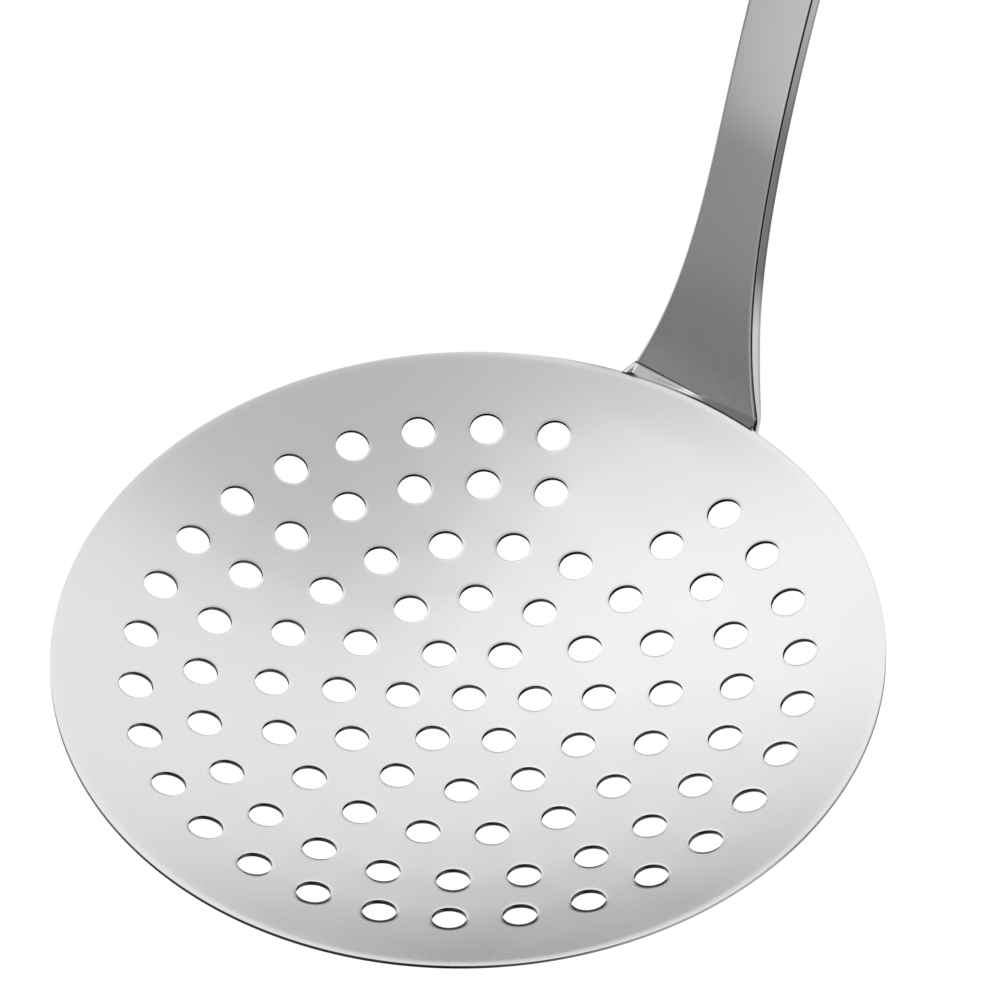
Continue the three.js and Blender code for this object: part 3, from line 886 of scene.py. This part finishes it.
def grip_shell(name, low, high):
    """The part of the hollow grip between two heights."""
    shell = grip_body(name, MOUTH_GAP, 0)
    cut(shell, grip_body("hollow", -TANG_LENGTH, SHELL_WALL), "DIFFERENCE")
    eye = eye_oval(EYE_WALL + EYE_GAP)
    cut(shell, prism("eye", eye, -2 * GRIP_THICKNESS, GRIP_THICKNESS), "DIFFERENCE")
    wide, long = GRIP_WIDTH, 2 * GRIP_LENGTH
    around = [(-wide, -long), (wide, -long), (wide, long), (-wide, long)]
    cut(shell, prism("half", around, low, high), "INTERSECT")
    finish_mesh(shell, grip_frame, GRIP_SHARP)
    return shell


front_shell = grip_shell("front_shell", SEAM_GAP / 2 - SEAM_DEPTH, GRIP_THICKNESS)
back_shell = grip_shell("back_shell", -2 * GRIP_THICKNESS, -SEAM_GAP / 2 - SEAM_DEPTH)
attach(front_shell, "root")
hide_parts("grip_front_shell")
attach(back_shell, "root")
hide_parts("grip_back_shell")

# Eyelet: an oval tube pressed through both shells, its ends rolled over into low polished lips, so
# that a hook or a peg meets no sharp edge.
TUBE_REACH = 1.2 * MM
LIP_REACH = 0.7 * MM
LIP_SEAT = 0.005 * MM
LIP_CURVE = [
    (0.05 * MM, -0.5 * MM), (0.22 * MM, -0.1 * MM), (0.5 * MM, 0.14 * MM),
    (0.8 * MM, 0.22 * MM), (1.15 * MM, 0.19 * MM),
]
EYELET_SHARP = math.radians(50)
EYELET_GRAIN = 3000.0
EYELET_RELIEF = 0.002 * MM
EYELET_ROUGHNESS = (0.12, 0.18)

grip_end_thickness = handle_size(neck_length + GRIP_LENGTH)[1]
lip = [(0, -TUBE_REACH), *LIP_CURVE, (EYE_WALL + LIP_REACH, LIP_SEAT)]
lip += [(EYE_WALL, LIP_SEAT), (EYE_WALL, -TUBE_REACH)]
tube = lip + [(margin, -grip_end_thickness - height) for margin, height in reversed(lip)]
eye_rings = []
for margin, height in tube:
    eye_rings.append([Vector((x, y, height)) for x, y in eye_oval(margin)])
eye_points, eye_faces = skin(eye_rings + eye_rings[:1])
eyelet_steel = steel(
    "polished eyelet steel", POLISHED_STEEL, POLISHED_STEEL,
    EYELET_ROUGHNESS, EYELET_GRAIN, EYELET_RELIEF,
)
eyelet = new_piece("eyelet", eye_points, eye_faces[1:-1], eyelet_steel)
finish_mesh(eyelet, grip_frame, EYELET_SHARP)
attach(eyelet, "root")
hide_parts("hanging_eyelet")

# Floor: a wide plain sheet of white paper. It glows a little for the eye and for mirror images, so
# that it shows white, and still takes the shadow of the skimmer.
FLOOR_RADIUS = 12.0
FLOOR_SIDES = 64
FLOOR_GLOW = 0.95
FLOOR_SHADE = 0.16
FLOOR_WHITE = 0.8

paper = bpy.data.materials.new("white paper")
paper.use_nodes = True
paper_tree = paper.node_tree
paper_tree.nodes.clear()
ray = add(paper_tree, "ShaderNodeLightPath").outputs
seen = maths(paper_tree, "MAXIMUM", ray["Is Camera Ray"], ray["Is Glossy Ray"])
seen = maths(paper_tree, "MAXIMUM", seen, ray["Is Transmission Ray"])
glow = add(paper_tree, "ShaderNodeEmission", {"Strength": FLOOR_GLOW}).outputs[0]
shade = add(paper_tree, "ShaderNodeBsdfDiffuse", {"Color": (FLOOR_SHADE,) * 3 + (1,)}).outputs[0]
lit = add(paper_tree, "ShaderNodeBsdfDiffuse", {"Color": (FLOOR_WHITE,) * 3 + (1,)}).outputs[0]
shown = add(paper_tree, "ShaderNodeAddShader", {0: glow, 1: shade}).outputs[0]
both = add(paper_tree, "ShaderNodeMixShader", {0: seen, 1: lit, 2: shown}).outputs[0]
add(paper_tree, "ShaderNodeOutputMaterial", {"Surface": both})
floor_edge = []
for side in range(FLOOR_SIDES):
    turn = 2 * math.pi * side / FLOOR_SIDES
    floor_edge.append(Vector((FLOOR_RADIUS * math.cos(turn), FLOOR_RADIUS * math.sin(turn), 0)))
floor = new_piece("floor", floor_edge, [tuple(range(FLOOR_SIDES))], paper)

# Studio light: an even room that is dark only low on the right, a strip of soft light above the dish
# and a soft box low behind the grip. Cards on the floor, and a flag just above it, are painted shade:
# glowing black and grey sheets that show only in reflections, where they darken the front and
# underside of the dish and the right side of the handle.
LIGHT_SIDE = (-0.62, 0.2, 0.76)
ROOM_TONES = [(-0.3, 0.02), (-0.15, 0.56), (0.2, 0.58), (0.84, 0.6), (1.0, 0.62)]
STRIP_PLACE = (120 * MM, -695 * MM, 1100 * MM)
STRIP_AIM = (120 * MM, -705 * MM, 0)
STRIP_WIDTH = 1560 * MM
STRIP_LENGTH = 500 * MM
STRIP_BRIGHTNESS = 0.96
LOW_BOX_PLACE = (-650 * MM, 750 * MM, 260 * MM)
LOW_BOX_AIM = (0, -144 * MM, 54 * MM)
LOW_BOX_WIDTH = 840 * MM
LOW_BOX_LENGTH = 520 * MM
LOW_BOX_BRIGHTNESS = 0.66
CARD_HEIGHT = 0.5 * MM
FLAG_HEIGHT = 8 * MM
FLAG = ((-66 * MM, -101 * MM), (-17 * MM, -55 * MM))
CARD_UNDER_DISH = ((-130 * MM, -230 * MM), (60 * MM, -122 * MM))
CARD_IN_FRONT = ((-4000 * MM, -5000 * MM), (2000 * MM, -500 * MM))
CARD_BESIDE_HANDLE = ((4 * MM, -98 * MM), (24 * MM, -45 * MM))
# The tones of the painted shade: black, and greys along the card beside the handle.
BLACK = [(-1, 0.02), (1, 0.02)]
SIDE_GREYS = [(-98 * MM, 1.0), (-91 * MM, 0.3), (-70 * MM, 0.3), (-48 * MM, 0.8)]


def toned(tree, value, stops):
    """A grey that runs through tones as a value grows. Each stop is a value and its tone."""
    low, high = stops[0][0], stops[-1][0]
    share = add(tree, "ShaderNodeMapRange", {"Value": value, "From Min": low, "From Max": high})
    ramp = add(tree, "ShaderNodeValToRGB", {"Fac": share.outputs["Result"]})
    while len(ramp.color_ramp.elements) < len(stops):
        ramp.color_ramp.elements.new(0.5)
    for element, (place, tone) in zip(ramp.color_ramp.elements, stops):
        element.position = (place - low) / (high - low)
        element.color = (tone, tone, tone, 1)
    return ramp.outputs["Color"]


room = bpy.data.worlds.new("studio_room")
bpy.context.scene.world = room
room.use_nodes = True
room_tree = room.node_tree
facing = dot(room_tree, add(room_tree, "ShaderNodeTexCoord").outputs["Generated"], LIGHT_SIDE)
room_tone = toned(room_tree, facing, ROOM_TONES)
room_tree.links.new(room_tone, room_tree.nodes["Background"].inputs["Color"])


def soft_box(name, place, aim, width, length, brightness):
    """A rectangular lamp of even brightness that faces a point and isn't itself in the picture."""
    lamp = bpy.data.lights.new(name, "AREA")
    lamp.shape = "RECTANGLE"
    lamp.size = width
    lamp.size_y = length
    lamp.energy = brightness * math.pi * width * length
    box = bpy.data.objects.new(name, lamp)
    box.location = place
    box.rotation_euler = (Vector(aim) - Vector(place)).to_track_quat("-Z", "Y").to_euler()
    box.visible_camera = False
    bpy.context.scene.collection.objects.link(box)


soft_box("overhead_strip", STRIP_PLACE, STRIP_AIM, STRIP_WIDTH, STRIP_LENGTH, STRIP_BRIGHTNESS)
soft_box("low_box", LOW_BOX_PLACE, LOW_BOX_AIM, LOW_BOX_WIDTH, LOW_BOX_LENGTH, LOW_BOX_BRIGHTNESS)


def card(name, outline, height, tones):
    """A level card of painted shade between two corners, a grey glow with tones along Y, that shows
    only in reflections.
    """
    paint = bpy.data.materials.new(name)
    paint.use_nodes = True
    tree = paint.node_tree
    tree.nodes.clear()
    place = add(tree, "ShaderNodeTexCoord").outputs["Object"]
    shade = toned(tree, dot(tree, place, (0, 1, 0)), tones)
    shown = add(tree, "ShaderNodeEmission", {"Color": shade}).outputs[0]
    add(tree, "ShaderNodeOutputMaterial", {"Surface": shown})
    (left, near), (right, far) = outline
    corners = [(left, near), (right, near), (right, far), (left, far)]
    sheet = new_piece(name, [Vector((x, y, height)) for x, y in corners], [(0, 1, 2, 3)], paint)
    sheet.visible_camera = False
    sheet.visible_diffuse = False
    sheet.visible_shadow = False


card("flag", FLAG, FLAG_HEIGHT, BLACK)
card("card_under_dish", CARD_UNDER_DISH, CARD_HEIGHT, BLACK)
card("card_in_front", CARD_IN_FRONT, CARD_HEIGHT, BLACK)
card("card_beside_handle", CARD_BESIDE_HANDLE, CARD_HEIGHT, SIDE_GREYS)

# Camera: in front of the dish, to the right of the handle, looking down into the hollow. Its place
# and its aim are given in the dish's own frame.
CAMERA_PLACE = (622.4 * MM, -907.6 * MM, 1190.4 * MM)
CAMERA_AIM = (-14.12 * MM, 27.99 * MM, 0)
CAMERA_ROLL = math.radians(1.51)
CAMERA_LENS = 414.8
SENSOR_WIDTH = 36
SIGHT_END = 100

camera = bpy.data.objects.new("camera", bpy.data.cameras.new("camera"))
bpy.context.scene.collection.objects.link(camera)
camera.data.lens = CAMERA_LENS
camera.data.sensor_width = SENSOR_WIDTH
camera.data.clip_end = SIGHT_END
sight = (Vector(CAMERA_AIM) - Vector(CAMERA_PLACE)).normalized()
up = (Vector((0, 0, 1)) - sight * sight.z).normalized()
right = sight.cross(up)
turned_up = up * math.cos(CAMERA_ROLL) + right * math.sin(CAMERA_ROLL)
axes = Matrix((sight.cross(turned_up), turned_up, -sight)).transposed().to_4x4()
camera.matrix_world = dish_frame @ Matrix.Translation(CAMERA_PLACE) @ axes
bpy.context.scene.camera = camera
bpy.context.scene.view_settings.view_transform = "Standard"
